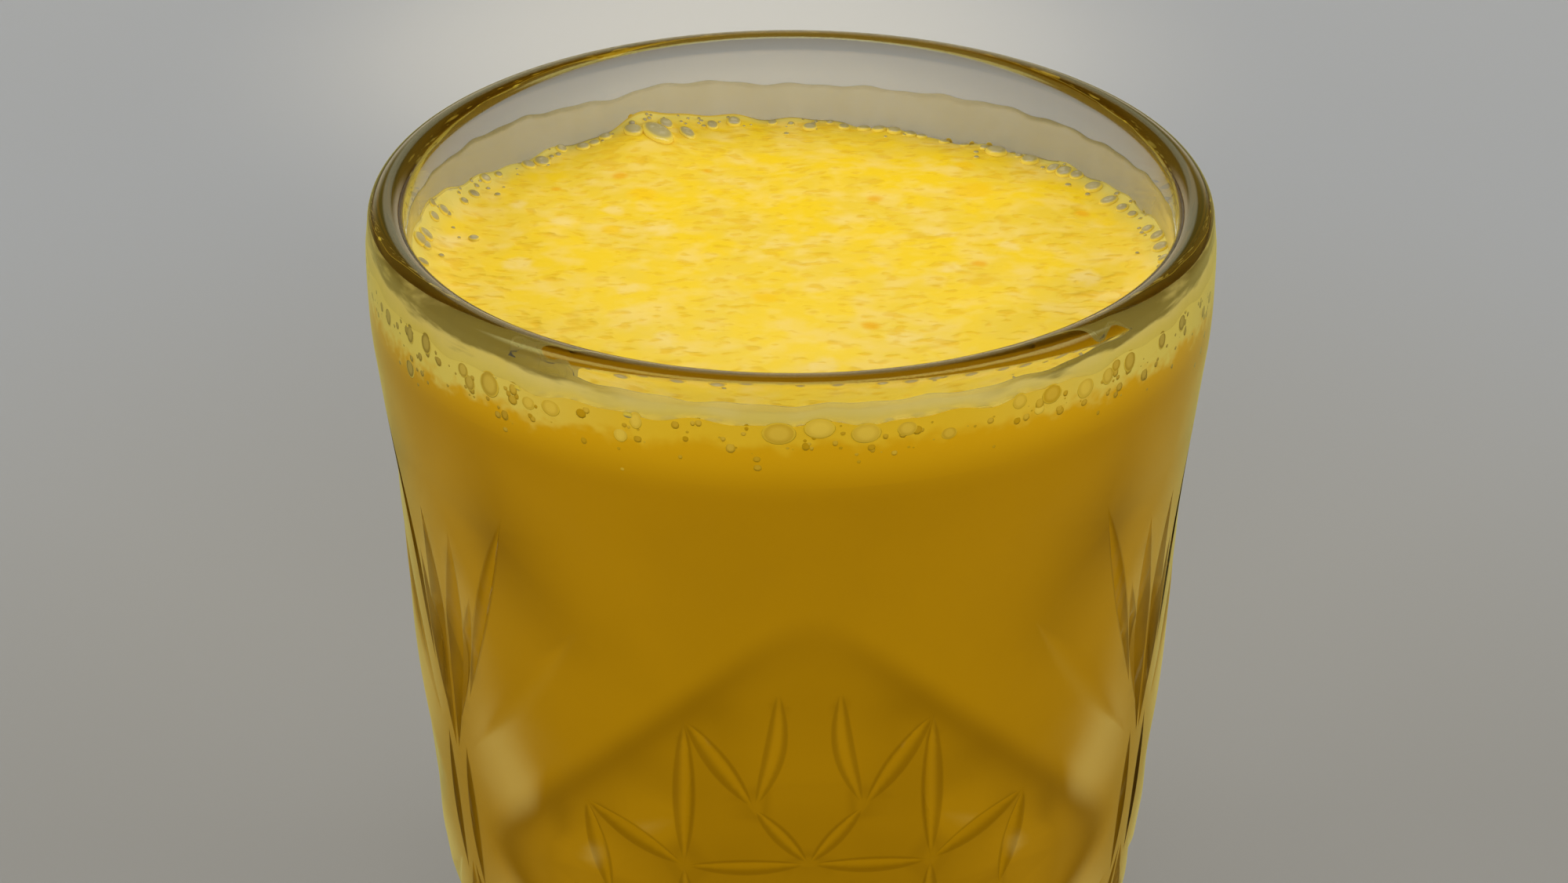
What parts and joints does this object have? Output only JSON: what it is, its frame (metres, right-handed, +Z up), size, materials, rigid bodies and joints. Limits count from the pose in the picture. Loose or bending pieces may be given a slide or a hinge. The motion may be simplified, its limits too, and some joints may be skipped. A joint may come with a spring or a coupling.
{
  "type": "glass of mango lassi",
  "caption": "Pressed glass tumbler with a cut diamond-and-fan pattern, full of mango lassi with froth on top.",
  "frame": {"origin": "middle of the foot, on the surface that the glass stands on", "axes": "+Z up along the glass's axis; one medallion of the cut pattern faces -Y"},
  "size_m": [0.086, 0.086, 0.11],
  "materials": {
    "glass": "clear pressed glass, fire-polished, with soft-edged mitre cuts",
    "lassi": "smooth opaque deep mango yellow drink",
    "froth": "moist bubbly yellow froth"
  },
  "bodies": {
    "root": {"glass": "glass", "lassi": "lassi", "froth": "froth"}
  },
  "joints": []
}
